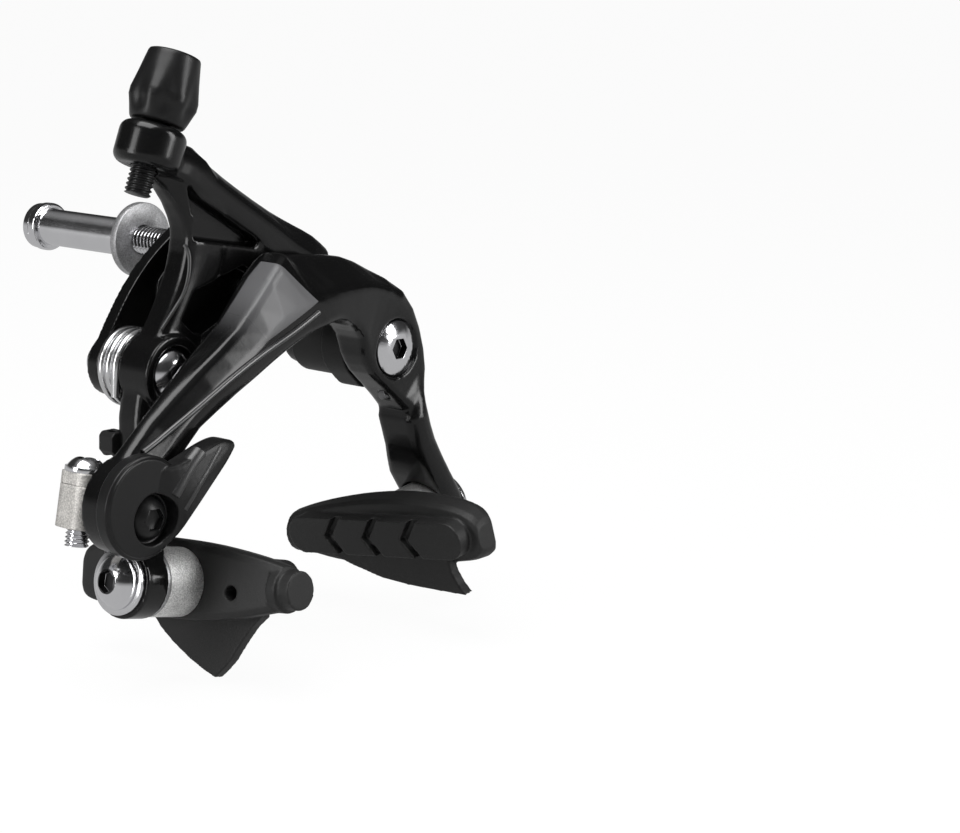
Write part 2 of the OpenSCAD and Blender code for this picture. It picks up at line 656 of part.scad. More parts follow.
// The cap: round at its top, widest a third of the way up, with flat facets below and between its lands
module adjuster_cap() {
    low = boss_h / 2 + cap_gap;
    flutes = 7;
    // height, radius of the lands, depth of the flutes
    rows = [[0, cap_r * 0.76, 0.1], [cap_h * 0.09, cap_r * 0.84, 0.35], [cap_h * 0.3, cap_r, 0.9],
            [cap_h * 0.62, cap_r * 0.87, 0.7], [cap_h * 0.88, cap_r * 0.78, 0.15], [cap_h, cap_r * 0.73, 0]];
    function ring(s) = [for (i = [0 : flutes - 1], k = [0 : 5])
        let (a = 360 / flutes * (i + [-0.1, 0, 0.1, 0.3, 0.5, 0.7][k]), d = [0, 0, 0, 1, 1, 1][k])
        [(s[1] - s[2] * d) * cos(a), (s[1] - s[2] * d) * sin(a), low + s[0]]];
    color([0.06, 0.06, 0.06]) adjuster() difference() {
        skin([for (s = rows) ring(s)]);
        translate([0, 0, low - 1]) cylinder(h = 6.5 + 1, r = stem_d / 2 + run_gap);
        translate([0, 0, low]) cylinder(h = cap_h, r = 1.4);
        translate([0, 0, low + cap_h - 6]) cylinder(h = 7, r = housing_d / 2);
        translate([0, 0, low + cap_h - 6.5]) cylinder(h = 0.5, r = housing_d / 2 + 0.3);
    }
}

// Front arm

// The arm's body, from the cable eye over the arch and down past the right pivot to the right shoe
module front_limb() {
    p = right_pivot;
    q = eye_centre;
    s = [shoe_x, -shoe_drop];
    b = front_arm_back;
    f = front_arm_front;
    rear_eye = -shoe_y + shoe_eye_r;
    front_eye = -shoe_y - shoe_eye_r;
    n = cable_eye_r * [-0.74, 0.67];
    limb([
        station(q, n * 0.9, -n * 0.9, eye_back, [eye_front + 0.6, eye_front, eye_front + 0.6], 0.5),
        station(q, [5.1, 15.2], [13.4, 8.9], b - 5.6, [f + 2.6, f - 0.4, f + 0.8], 0.55),
        station(q, [17.6, 23.9], [21.6, 14.9], b - 3.4, [f + 2.4, f - 0.6, f + 0.8], 0.55),
        station(p, [-48.6, 9.8], [-44.8, -0.8], b - 2.4, [f + 2, f - 0.6, f + 0.6], 0.55),
        station(p, [-40.4, 18.4], [-36, 3.6], b - 1.4, [f + 1.4, f - 0.6, f + 0.6], 0.6),
        station(p, [-34, 22.4], [-29.4, 6.2], b - 0.8, [f + 3.4, f - 0.4, f + 0.6], 0.62),
        station(p, [-28.4, 21.4], [-24.2, 7.4], b - 0.4, [b - 3, f, f + 0.5], 0.58),
        station(p, [-22, 21.1], [-19.7, 8.1], b, [b - 3, f + 0.4, f + 0.9], 0.52),
        station(p, [-11.8, 19.8], [-15.2, 6.5], b, [b - 3, f + 1.2, f + 1.7], 0.4),
        station(p, [-4.8, 17], [-11.2, 3.2], b, [b - 3.2, f + 2.2, f + 2.5], 0.24),
        station(p, [2.8, 12], [-9.6, -0.9], b, [f + 4, f + 3, f + 3.2], 0.12),
        station(p, [8.2, 3.6], [-7, -4.8], b, [f + 3.6, f + 3.2, f + 3.4], 0.12),
        station(p, [9.6, -5.3], [-2.4, -8.7], b, [f + 3, f + 2.6, f + 2.9], 0.12),
        station(p, [8.3, -10], [3, -13.8], b, [f + 1.7, f + 1.2, f + 2], 0.5),
        station(s, [-5.4, 23.4], [-11, 21.6], b, [f + 0.8, f + 0.2, f + 1.2], 0.5),
        station(s, [-2.8, 17.2], [-8.6, 15.2], b, [f + 0.8, f + 0.2, f + 1.2], 0.5),
        station(s, [1.4, 9.6], [-4.4, 8], rear_eye + 0.4, [front_eye + 1, front_eye + 0.4, front_eye + 1.2], 0.5),
        station(s, [4.8, 4], [-0.8, 2.8], rear_eye, [front_eye + 0.4, front_eye, front_eye + 0.4], 0.5),
        station(s, [5.6, 0], [0.2, -1], rear_eye + 0.2, [front_eye + 0.3, front_eye + 0.2, front_eye + 0.2], 0.5),
    ], 2, 1.5);
}

module front_arm() color([0.06, 0.06, 0.065]) {
    difference() {
        union() {
            front_limb();
            rod(eye_centre, eye_back, eye_front, cable_eye_r);
            shoe(1) shoe_drum(0, shoe_eye_t, shoe_eye_r);
        }
        rod(right_pivot, front_arm_back + 1, front_arm_front - 2, bush_r + fit);
        rod(right_pivot, right_seat + run_gap, front_arm_front - 2, right_head_d / 2 + 0.5);
        rod(release_axis, eye_back + 1, eye_front - 1, release_r + run_gap);
        rod(roller_place, front_arm_back + 1, front_arm_back - 4, roller_pin_r + fit);
        shoe(1) shoe_drum(-1, shoe_eye_t + 1, shoe_bolt_r + fit);
        shoe(1) shoe_drum(shoe_eye_t, shoe_eye_t + 6, shoe_eye_r + 0.6);
        shoe(1) shoe_drum(-pad_back, 0, shoe_washer_r + 0.3);
        shoe(-1) shoe_drum(-2, shoe_eye_t + 1.2, shoe_eye_r + 0.4);
        front_recess();
        translate([right_pivot.x - 3, -shoe_y, right_pivot.y - 10.2]) rotate([0, 90, 0])
            cylinder(h = 9, r = centring_r + fit);
    }
}

// The round-ended recess in the inner face of the front arm's leg
module front_recess() {
    translate([shoe_x - 9.2, -shoe_y, -shoe_drop + 14]) rotate([0, -32, 0]) translate([-2.6, 0, 0])
        rotate([0, 90, 0]) linear_extrude(3.2) link_outline([-6, 0], 2.1, [6, 0], 2.1);
}

module right_bush() color([0.7, 0.6, 0.3])
    tube(right_pivot, front_arm_back, right_seat + run_gap, bush_r, pivot_r + run_gap);

// Plastic cover round the right return spring, with a tongue that leans on the arm's leg
module spring_cover() color([0.06, 0.06, 0.06]) {
    difference() {
        union() {
            rod(right_pivot, leg_front - 0.3, front_arm_back, 7.6);
            upright(front_arm_back + 6) linear_extrude(6)
                translate(right_pivot) link_outline([0, 0], 8.2, [-0.4, -6], 3.4);
        }
        rod(right_pivot, leg_front + 1, leg_front - 7.4, cover_bore_r);
        rod(right_pivot, leg_front, front_arm_back - 1, right_spacer_r + run_gap);
    }
}

module centring_screw() color([0.8, 0.8, 0.82])
    translate([right_pivot.x - 1.4, -shoe_y, right_pivot.y - 10.2]) rotate([0, 90, 0])
        cylinder(h = 6.6, r = centring_r);

module roller_pin() color([0.75, 0.75, 0.76])
    rod(roller_place, rear_arm_front - roller_gap, front_arm_back - 3.8, roller_pin_r);

module link_roller() color([0.75, 0.75, 0.76])
    tube(roller_place, rear_arm_front - roller_gap, front_arm_back + roller_gap, roller_r, roller_pin_r + run_gap);

// Quick release and cable anchor

// The lever: a thin disc over the eye, and a tail that rises to a ridge
module release_lever() color([0.07, 0.07, 0.07]) {
    p = release_axis;
    b = lever_back - 0.15;
    f = lever_back - tail_t;
    difference() {
        union() {
            rod(disc_centre, lever_back, lever_back - lever_t + 0.5, disc_r);
            rod(disc_centre, lever_back, lever_back - lever_t, disc_r - 0.6);
            limb([
                station(p, [0.8, 9.6], [2, -6.6], b, [f + 3, f + 2, f + 3], 0.5),
                station(p, [4.8, 9.7], [5.4, -3.8], b, [f + 1.6, f + 0.6, f + 1.6], 0.52),
                station(p, [9.1, 11], [9.4, 0.5], b, [f + 1, f, f + 1], 0.55),
                station(p, [13.4, 12.4], [14.2, 5.4], b, [f + 0.8, f, f + 0.8], 0.6),
                station(p, [16.8, 13], [17.6, 8.8], b, [f + 0.8, f + 0.2, f + 0.8], 0.6),
                station(p, [19, 12.6], [19.4, 11.1], b, [f + 1, f + 0.6, f + 1], 0.6),
            ], 3, 0.8);
        }
        rod(p, lever_back + 1, lever_back - tail_t - 1, release_r + fit);
        rod(p, lever_back - 1.4, lever_back - tail_t - 1, 4.9);
    }
}

module release_bolt() color([0.04, 0.04, 0.04]) {
    rod(release_axis, eye_back, lever_back - 1.4, release_r);
    rod(release_axis, anchor_front + release_depth - 0.4, eye_back, release_tip_r);
    upright(lever_back - 1.4) translate([release_axis.x, release_axis.y, 0]) difference() {
        dome(4.5, 2.6);
        translate([0, 0, 2.6]) hex_socket(1.8);
    }
}

// Hole of the clamp screw through the anchor's pieces
module clamp_hole() {
    anchor() translate([clamp_x, clamp_y, -15]) cylinder(h = 30, r = clamp_r + fit);
}

module cable_anchor() color([0.7, 0.69, 0.67]) difference() {
    anchor() translate([-anchor_w / 2, anchor_front, anchor_low])
        anchor_block(anchor_w, anchor_back - anchor_front, anchor_h);
    rod(release_axis, anchor_front + release_depth, eye_back - 1, release_tip_r + run_gap);
    clamp_hole();
}

// A block with rounded upright edges
module anchor_block(w, l, h) {
    e = 2.2;
    translate([e, 0, 0]) cube([w - 2 * e, l, h]);
    translate([0, e, 0]) cube([w, l - 2 * e, h]);
    for (x = [e, w - e], y = [e, l - e]) translate([x, y, 0]) cylinder(h = h, r = e);
}

module anchor_plate() color([0.7, 0.69, 0.67]) difference() {
    anchor() translate([-anchor_w / 2, anchor_front, anchor_low + anchor_h])
        anchor_block(anchor_w - 1.6, anchor_back - anchor_front, anchor_plate_t);
    clamp_hole();
}

module anchor_screw() color([0.8, 0.8, 0.82]) anchor() translate([clamp_x, clamp_y, anchor_low]) {
    top = anchor_h + anchor_plate_t;
    translate([0, 0, -3.4]) cylinder(h = top + 3.4, r = clamp_r);
    translate([0, 0, top]) difference() {
        union() {
            cylinder(h = 1, r = 4);
            dome(4, 3.2);
        }
        translate([0, 0, 3.2]) hex_socket(1.8);
    }
}

mounting_bracket();
centre_bolt();
mounting_washer();
sleeve_nut();
left_pivot_bolt();
right_pivot_bolt();
left_spacer();
right_spacer();
left_return_spring();
right_return_spring();
rear_arm();
left_bush();
spring_stop();
left_shoe_bolt();
left_bolt_washer();
left_ball_washer();
left_dish_washer();
left_pad();
adjuster_stem();
adjuster_cap();
front_arm();
right_bush();
spring_cover();
centring_screw();
roller_pin();
link_roller();
right_shoe_bolt();
right_bolt_washer();
right_ball_washer();
right_dish_washer();
right_pad();
release_lever();
release_bolt();
cable_anchor();
anchor_plate();
anchor_screw();
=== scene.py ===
"""Dresses the dual-pivot caliper brake: forged arms, cut threads, wound springs and finishes."""
import logging
import math
from dataclasses import dataclass
from enum import Enum
from typing import Iterable, Sequence, Union

import bmesh
import bpy
from mathutils import Matrix, Vector
from mathutils.bvhtree import BVHTree


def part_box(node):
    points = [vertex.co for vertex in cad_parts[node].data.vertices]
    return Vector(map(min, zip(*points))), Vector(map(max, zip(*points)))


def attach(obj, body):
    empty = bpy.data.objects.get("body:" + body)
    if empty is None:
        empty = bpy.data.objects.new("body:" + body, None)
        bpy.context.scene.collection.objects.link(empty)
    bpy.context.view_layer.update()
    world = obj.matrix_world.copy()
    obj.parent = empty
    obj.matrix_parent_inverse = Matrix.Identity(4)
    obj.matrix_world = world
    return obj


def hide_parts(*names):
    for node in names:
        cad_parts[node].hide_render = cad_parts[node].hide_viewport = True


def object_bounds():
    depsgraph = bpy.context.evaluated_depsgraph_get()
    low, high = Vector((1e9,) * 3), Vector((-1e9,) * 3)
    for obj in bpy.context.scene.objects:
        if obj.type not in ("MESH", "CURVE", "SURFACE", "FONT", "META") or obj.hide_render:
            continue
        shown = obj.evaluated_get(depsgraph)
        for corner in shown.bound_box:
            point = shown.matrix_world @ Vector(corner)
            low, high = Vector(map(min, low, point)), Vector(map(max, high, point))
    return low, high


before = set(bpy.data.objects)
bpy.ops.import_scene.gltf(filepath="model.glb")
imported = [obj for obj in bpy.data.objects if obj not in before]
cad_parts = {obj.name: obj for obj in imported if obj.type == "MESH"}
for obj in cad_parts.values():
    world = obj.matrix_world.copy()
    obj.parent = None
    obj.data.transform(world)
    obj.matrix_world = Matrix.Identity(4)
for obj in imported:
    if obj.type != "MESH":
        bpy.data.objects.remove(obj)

MM = 0.001
# faces that meet at less than this angle, in degrees, are one flat
FLAT_ANGLE = 0.4
# points between two places of a traced path
TRACE_STEPS = 8
# a socket's painted shade stands this far up its axis in millimetres, and in by this share of its
# reach
SOCKET_SHADE_GAP = 0.02
CAD_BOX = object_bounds()
log = logging.getLogger("caliper")


class Body(Enum):
    """The moving bodies of the brake."""

    BRACKET = "bracket"
    REAR_ARM = "rear_arm"
    FRONT_ARM = "front_arm"
    STEM = "adjuster_stem"
    CAP = "adjuster_cap"
    ROLLER = "link_roller"
    LEVER = "release_lever"
    ANCHOR = "cable_anchor"


class Slot(Enum):
    """The record's material slots."""

    GLOSS = "gloss_black_paint"
    SATIN = "satin_black_paint"
    CHROME = "chromed_steel"
    STEEL = "bright_steel"
    CAST = "cast_aluminium"
    PLASTIC = "black_plastic"
    BRONZE = "bronze"
    RUBBER = "black_rubber"


# Shader sums


class Wire:
    """A node socket that can be used in Python sums; each sign adds a Math node."""

    def __init__(self, shader: "Shader", socket: bpy.types.NodeSocket) -> None:
        """Wraps an output.

        Args:
            shader: the shader that the output belongs to.
            socket: the output.
        """
        self.shader = shader
        self.socket = socket

    def _sum(self, operation: str, first: "Value", second: "Value") -> "Wire":
        """Adds one Math node and returns its output."""
        return self.shader.node("ShaderNodeMath", {"operation": operation}, {0: first, 1: second})

    def __add__(self, other: "Value") -> "Wire":
        """Sum."""
        return self._sum("ADD", self, other)

    def __radd__(self, other: "Value") -> "Wire":
        """Sum, the number first."""
        return self._sum("ADD", other, self)

    def __sub__(self, other: "Value") -> "Wire":
        """Difference."""
        return self._sum("SUBTRACT", self, other)

    def __rsub__(self, other: "Value") -> "Wire":
        """Difference, the number first."""
        return self._sum("SUBTRACT", other, self)

    def __mul__(self, other: "Value") -> "Wire":
        """Product."""
        return self._sum("MULTIPLY", self, other)

    def __rmul__(self, other: "Value") -> "Wire":
        """Product, the number first."""
        return self._sum("MULTIPLY", other, self)

    def __truediv__(self, other: "Value") -> "Wire":
        """Quotient."""
        return self._sum("DIVIDE", self, other)

    def __pow__(self, other: "Value") -> "Wire":
        """Power."""
        return self._sum("POWER", self, other)

    def smaller(self, other: "Value") -> "Wire":
        """The smaller of the two."""
        return self._sum("MINIMUM", self, other)

    def larger(self, other: "Value") -> "Wire":
        """The larger of the two."""
        return self._sum("MAXIMUM", self, other)

    def step(self, low: float, high: float) -> "Wire":
        """A smooth step from 0 at low to 1 at high."""
        settings = {"interpolation_type": "SMOOTHSTEP"}
        sockets = {0: self, 1: low, 2: high, 3: 0.0, 4: 1.0}
        return self.shader.node("ShaderNodeMapRange", settings, sockets)


Value = Union[Wire, float, int, tuple]


def grey(level: float, blue: float = 1.0) -> tuple:
    """A grey of that level, with its blue times a factor."""
    return (level, level, level * blue, 1.0)


class Shader:
    """A node tree that grows by one method, for a material or for the world."""

    def __init__(self, owner: bpy.types.Material | bpy.types.World) -> None:
        """Starts an empty tree.

        Args:
            owner: the material or world, whose nodes are cleared.
        """
        owner.use_nodes = True
        self.owner = owner
        self.tree = owner.node_tree
        self.tree.nodes.clear()

    def node(self, kind: str, settings: dict | None = None, sockets: dict | None = None,
             output: int | str = 0) -> "Wire | None":
        """Adds a node.

        Args:
            kind: the node's type.
            settings: its properties, set first; "stops" are a colour ramp's places and greys.
            sockets: a value or a Wire for each input, by name or number.
            output: which output is returned.
        Returns:
            The chosen output, ready for sums, or None for a node without outputs.
        """
        made = self.tree.nodes.new(kind)
        for key, value in (settings or {}).items():
            if key == "stops":
                ramp = made.color_ramp.elements
                while len(ramp) < len(value):
                    ramp.new(0.5)
                for stop, (place, level) in zip(ramp, value):
                    stop.position = place
                    stop.color = grey(level)
            else:
                setattr(made, key, value)
        for key, value in (sockets or {}).items():
            if isinstance(value, Wire):
                self.tree.links.new(value.socket, made.inputs[key])
            else:
                made.inputs[key].default_value = value
        return Wire(self, made.outputs[output]) if made.outputs else None

    def surface(self, **values: "Value") -> Wire:
        """A Principled surface with its sockets set, named with _ for a space."""
        sockets = {name.replace("_", " "): value for name, value in values.items()}
        return self.node("ShaderNodeBsdfPrincipled", {}, sockets)

    def end(self, shown: Wire) -> None:
        """Makes the wire what the material or the world shows."""
        kind = "World" if isinstance(self.owner, bpy.types.World) else "Material"
        self.node(f"ShaderNodeOutput{kind}", {}, {"Surface": shown})

    def mixed(self, share: "Value", first: Wire, second: Wire) -> Wire:
        """The first surface, and the second by the share from 0 to 1."""
        return self.node("ShaderNodeMixShader", {}, {0: share, 1: first, 2: second})

    def ray(self, kind: str) -> Wire:
        """1 for rays of that kind, such as Is Camera Ray."""
        return self.node("ShaderNodeLightPath", output=kind)

    def seen(self) -> Wire:
        """1 for rays that come from the camera, straight or through glass."""
        return self.ray("Is Camera Ray").larger(self.ray("Is Transmission Ray"))

    def glow(self, kind: str, colour: "Value", strength: float) -> Wire:
        """An Emission or Background node of that colour and strength."""
        return self.node(kind, {}, {"Color": colour, "Strength": strength})

    def place(self) -> Wire:
        """The point on the object, in metres."""
        return self.node("ShaderNodeTexCoord", output="Object")

    def along(self, axis: int) -> Wire:
        """The point's place along an axis, 0 to 2, in millimetres."""
        return self.node("ShaderNodeSeparateXYZ", {}, {0: self.place()}, axis) * 1000

    def noise(self, scale: float, detail: float, stretch: Sequence[float] = (1, 1, 1)) -> Wire:
        """Noise over the object.

        Args:
            scale: its cells in a metre.
            detail: how many finer layers it has.
            stretch: the factor on each axis; below 1 draws the cells out along it.
        Returns:
            The noise, from 0 to 1.
        """
        spot = self.node("ShaderNodeMapping", {}, {"Vector": self.place(), "Scale": tuple(stretch)})
        sockets = {"Vector": spot, "Scale": scale, "Detail": detail}
        return self.node("ShaderNodeTexNoise", {}, sockets, "Fac")

    def blend(self, share: Value, first: "Value", second: "Value") -> Wire:
        """A colour between two colours, by the share from 0 to 1."""
        return self.node("ShaderNodeMix", {"data_type": "RGBA"}, {0: share, 6: first, 7: second}, 2)

    def bump(self, height: Wire, depth: float) -> Wire:
        """A normal bent by the height, depth metres deep."""
        sockets = {"Height": height, "Distance": depth, "Strength": 1.0}
        return self.node("ShaderNodeBump", {}, sockets)


# Finishes


@dataclass(frozen=True)
class Finish:
    """A finish of the brake; each kind says how its shader is built."""

    name: str
    slot: Slot

    def build(self, shader: Shader) -> Wire:
        """Adds the finish's nodes to the shader and returns its surface."""
        raise NotImplementedError

    def material(self) -> bpy.types.Material:
        """The finish's material, made the first time that it is asked for."""
        found = bpy.data.materials.get(self.name)
        if found is None:
            found = bpy.data.materials.new(self.name)
            shader = Shader(found)
            shader.end(self.build(shader))
        return found


@dataclass(frozen=True)
class Paint(Finish):
    """Black paint on metal: a slight orange peel, cloudy gloss and a few dust specks; with flat
    set, a rougher satin flat whose lighter grey is a painted reflection.
    """

    dark: float = 0.0025
    light: float = 0.005
    gloss: float = 0.15
    cloud: float = 0.08
    peel: float = 0.008
    shine: float = 0.36
    flat: bool = False
    # the flat's lighter grey: a painted reflection of a softbox
    painted_sheen_tone: tuple = (0.095, 0.095, 0.098, 1.0)

    def build(self, shader: Shader) -> Wire:
        """Adds the paint's nodes."""
        cloud = shader.noise(55, 3)
        specks = shader.noise(2600, 1).step(0.74, 0.80)
        tone = (cloud * 0.8 + specks * 0.6).smaller(1.0)
        # the flat is rougher satin, and its lighter grey, fading down the arm, is a painted
        # reflection
        satin_and_sheen = self.satin_and_sheen_mask(shader) if self.flat else 0.0
        colour = shader.blend(tone, grey(self.dark), grey(self.light, 1.05))
        if self.flat:
            colour = shader.blend(satin_and_sheen, colour, self.painted_sheen_tone)
        return shader.surface(
            Base_Color=colour,
            Roughness=self.gloss + cloud * self.cloud + specks * 0.1 + satin_and_sheen * 0.16,
            Specular_IOR_Level=self.shine,
            Normal=shader.bump(shader.noise(900, 2), self.peel * MM),
        )

    @staticmethod
    def satin_and_sheen_mask(shader: Shader) -> Wire:
        """Finds the satin flat on the front arm's upper facet, which carries a painted softbox
        reflection.

        Its bounds are planes along the arm's corner, along the ridge and across the arm, in
        millimetres.

        Args:
            shader: the paint's shader.
        Returns:
            1 on the flat, fading out down the arm as the painted reflection fades; 0 elsewhere.
        """
        x, y, z = (shader.along(axis) for axis in range(3))
        before_corner = (x * 0.668 + z * 0.744 + 5.45).step(0.08, -0.08)
        above_rib = (z - x * 0.4224 + 7.25).step(-0.1, 0.1)
        fade = (x * 0.8 + z * 0.6).step(-27.0, -13.0)
        in_front = (y + 26.5).step(0.3, -0.3)
        return before_corner * above_rib * fade * in_front


@dataclass(frozen=True)
class Plate(Finish):
    """Polished or brushed metal, with fine lines along one axis."""

    gloss: float
    tone: tuple = (0.80, 0.80, 0.82)
    cloud: float = 0.10
    grain: Sequence[float] = (1, 1, 1)
    depth: float = 0.004

    def build(self, shader: Shader) -> Wire:
        """Adds the metal's nodes."""
        cloud = shader.noise(180, 3)
        lines = shader.noise(1500, 2, self.grain)
        dull = tuple(0.86 * c for c in self.tone)
        return shader.surface(
            Base_Color=shader.blend(cloud * 0.6 + lines * 0.4, (*dull, 1), (*self.tone, 1)),
            Metallic=1.0,
            Roughness=self.gloss + cloud * self.cloud + lines * 0.06,
            Normal=shader.bump(lines, self.depth * MM),
        )


@dataclass(frozen=True)
class Cast(Finish):
    """Cast or sand-blasted aluminium, pitted all over."""

    tone: tuple
    gloss: float
    pit: float

    def build(self, shader: Shader) -> Wire:
        """Adds the casting's nodes."""
        pits = shader.noise(3400, 4)
        stains = shader.noise(240, 3)
        clean = (stains * 0.4 + pits * 0.9 - 0.15).step(0.3, 0.7)
        dull = tuple(0.56 * c for c in self.tone)
        return shader.surface(
            Base_Color=shader.blend(clean, (*dull, 1), (*self.tone, 1)),
            Metallic=0.92,
            Roughness=self.gloss + pits * 0.16,
            Normal=shader.bump(pits, self.pit * MM),
        )


@dataclass(frozen=True)
class Moulding(Finish):
    """Matt moulded rubber or plastic with a fine grain."""

    dark: float
    light: float
    gloss: float
    grain: float = 0.03
    shine: float = 0.3

    def build(self, shader: Shader) -> Wire:
        """Adds the moulding's nodes."""
        grain = shader.noise(2400, 3)
        dust = shader.noise(95, 4)
        return shader.surface(
            Base_Color=shader.blend(dust * 0.8 + grain * 0.2, grey(self.dark), grey(self.light)),
            Roughness=self.gloss + dust * 0.12 + grain * 0.06,
            Specular_IOR_Level=self.shine,
            Normal=shader.bump(grain * 0.7 + dust * 0.3, self.grain * MM),
        )


GLOSS = Paint("gloss_black", Slot.GLOSS)
# gloss black with the front arm's satin flat and its painted softbox reflection
GLOSS_WITH_SHEEN = Paint("gloss_black_with_flat_and_painted_sheen", Slot.GLOSS, flat=True)
# lighter than the arms' paint: a painted highlight on the arms' ridge and edge wires
RIDGE_HIGHLIGHT = Paint("ridge_black_painted_highlight", Slot.GLOSS, dark=0.012, light=0.02, gloss=0.26, shine=0.9)
# lighter than the lever's satin: a painted highlight on the lever's crest and band
SATIN_RIDGE_HIGHLIGHT = Paint("ridge_satin_painted_highlight", Slot.SATIN, dark=0.01, light=0.018, gloss=0.34, shine=0.7)
SATIN = Paint("satin_black", Slot.SATIN, dark=0.004, light=0.009, gloss=0.3, peel=0.014, shine=0.3)
THREAD = Paint("blackened_thread", Slot.SATIN, dark=0.006, light=0.012, gloss=0.3, peel=0.008)
CHROME = Plate("polished_chrome", Slot.CHROME, gloss=0.09, cloud=0.06)
DULL = Plate("dull_thread", Slot.CHROME, tone=(0.22, 0.22, 0.225), gloss=0.34)
# painted shade: near-black metal laid inside the bolts' hexagon sockets
SOCKET_SHADE = Plate("socket_painted_shade", Slot.CHROME, tone=(0.07, 0.07, 0.072), gloss=0.3)
SPRING = Plate("spring_steel", Slot.CHROME, tone=(0.74, 0.74, 0.75), gloss=0.18)
WASHER = Plate("turned_steel", Slot.STEEL, tone=(0.60, 0.60, 0.61), gloss=0.3, grain=(1, 0.1, 1),
               depth=0.012)
BRONZE = Plate("bush_bronze", Slot.BRONZE, tone=(0.60, 0.46, 0.25), gloss=0.3)
BLASTED = Cast("blasted_aluminium", Slot.CAST, tone=(0.97, 0.97, 0.96), gloss=0.46, pit=0.16)
CASTING = Cast("pitted_aluminium", Slot.CAST, tone=(0.76, 0.74, 0.71), gloss=0.48, pit=0.08)
SPECKLED = Cast("blasted_steel", Slot.STEEL, tone=(0.52, 0.52, 0.53), gloss=0.36, pit=0.04)
PLASTIC = Moulding("moulded_plastic", Slot.PLASTIC, dark=0.005, light=0.01, gloss=0.4)
RUBBER = Moulding("moulded_rubber", Slot.RUBBER, dark=0.006, light=0.013, gloss=0.44, grain=0.05,
                  shine=0.4)


# Mesh work


def settle(name: str, bm: bmesh.types.BMesh, smooth: float = 35.0) -> bpy.types.Object:
    """Turns a bmesh into an object at the origin.

    Args:
        name: the piece's name.
        bm: the mesh, in metres; it is freed.
        smooth: edges sharper than this angle, in degrees, stay crisp.
    Returns:
        The object, linked to the scene.
    """
    mesh = bpy.data.meshes.new(name)
    bm.to_mesh(mesh)
    bm.free()
    return settle_mesh(name, mesh, smooth)


def settle_mesh(name: str, mesh: bpy.types.Mesh, smooth: float) -> bpy.types.Object:
    """Links a mesh to the scene as an object, smooth but for its sharp edges.

    Args:
        name: the piece's name.
        mesh: its mesh.
        smooth: edges sharper than this angle, in degrees, stay crisp.
    Returns:
        The object.
    """
    mesh.name = name
    mesh.materials.clear()
    mesh.polygons.foreach_set("use_smooth", [True] * len(mesh.polygons))
    mesh.set_sharp_from_angle(angle=math.radians(smooth))
    made = bpy.data.objects.new(name, mesh)
    bpy.context.scene.collection.objects.link(made)
    return made


def node_mesh(node: str) -> bmesh.types.BMesh:
    """A copy of a CAD node's mesh with its loose triangles merged.

    Args:
        node: the CAD node.
    Returns:
        The copy, in metres.
    """
    bm = bmesh.new()
    bm.from_mesh(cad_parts[node].data)
    bmesh.ops.remove_doubles(bm, verts=bm.verts, dist=2e-6)
    return bm


def rounded(bm: bmesh.types.BMesh, width: float, limit: float = 28.0, segments: int = 2) -> None:
    """Rounds a mesh's sharp edges.

    Args:
        bm: the mesh.
        width: the rounding, in millimetres.
        limit: edges sharper than this angle, in degrees, are rounded.
        segments: how many facets a rounding has.
    """
    flat, turn = math.radians(FLAT_ANGLE), math.radians(limit)
    bmesh.ops.dissolve_limit(bm, angle_limit=flat, verts=bm.verts, edges=bm.edges)
    sharp = [e for e in bm.edges if len(e.link_faces) == 2 and e.calc_face_angle(0) > turn]
    bmesh.ops.bevel(bm, geom=sharp, offset=width * MM, offset_type="OFFSET", affect="EDGES",
                    segments=segments, profile=0.5, material=-1, clamp_overlap=True)


def keep_side(bm: bmesh.types.BMesh, spot: Vector, normal: Vector) -> None:
    """Cuts a mesh at a plane and closes the cut.

    Args:
        bm: the mesh.
        spot: a point of the plane, in metres.
        normal: the side that is cut away.
    """
    geom = [*bm.verts, *bm.edges, *bm.faces]
    bmesh.ops.bisect_plane(bm, geom=geom, dist=1e-7, plane_co=spot, plane_no=normal,
                           clear_outer=True)
    open_edges = [e for e in bm.edges if e.is_boundary]
    bmesh.ops.holes_fill(bm, edges=open_edges, sides=0)


def applied(obj: bpy.types.Object, smooth: float) -> bpy.types.Object:
    """Swaps an object for one whose mesh has the modifiers applied.

    Args:
        obj: the object, which is removed.
        smooth: edges sharper than this angle, in degrees, stay crisp.
    Returns:
        The new object, with the same name.
    """
    depsgraph = bpy.context.evaluated_depsgraph_get()
    mesh = bpy.data.meshes.new_from_object(obj.evaluated_get(depsgraph), depsgraph=depsgraph)
    name = obj.name
    bpy.data.objects.remove(obj)
    return settle_mesh(name, mesh, smooth)


def skinned(obj: bpy.types.Object, voxel: float, rounds: int) -> bpy.types.Object:
    """Gives a piece one even skin with soft edges, as forging, casting or moulding leaves it.

    Args:
        obj: the piece.
        voxel: the skin's grain, in millimetres.
        rounds: how many times the skin is smoothed.
    Returns:
        The new object.
    """
    remesh = obj.modifiers.new("skin", "REMESH")
    remesh.mode = "VOXEL"
    remesh.voxel_size = voxel * MM
    remesh.use_smooth_shade = True
    relax = obj.modifiers.new("relax", "SMOOTH")
    relax.factor = 0.5
    relax.iterations = rounds
    return applied(obj, 80)


def drawn_wire(name: str, path: Sequence[Vector], radius: float,
               segments: int = 5) -> bpy.types.Object:
    """A round wire along a path, closed at its ends.

    Args:
        name: the wire's name.
        path: its middle line, in millimetres.
        radius: its radius, in millimetres.
        segments: how finely it is rounded.
    Returns:
        The wire as a mesh object.
    """
    curve = bpy.data.curves.new(name, "CURVE")
    curve.dimensions = "3D"
    curve.bevel_depth = radius * MM
    curve.bevel_resolution = segments
    curve.use_fill_caps = True
    spline = curve.splines.new("POLY")
    spline.points.add(len(path) - 1)
    for point, spot in zip(spline.points, path):
        point.co = (*(spot * MM), 1)
    made = bpy.data.objects.new(name, curve)
    bpy.context.scene.collection.objects.link(made)
    return applied(made, 50)


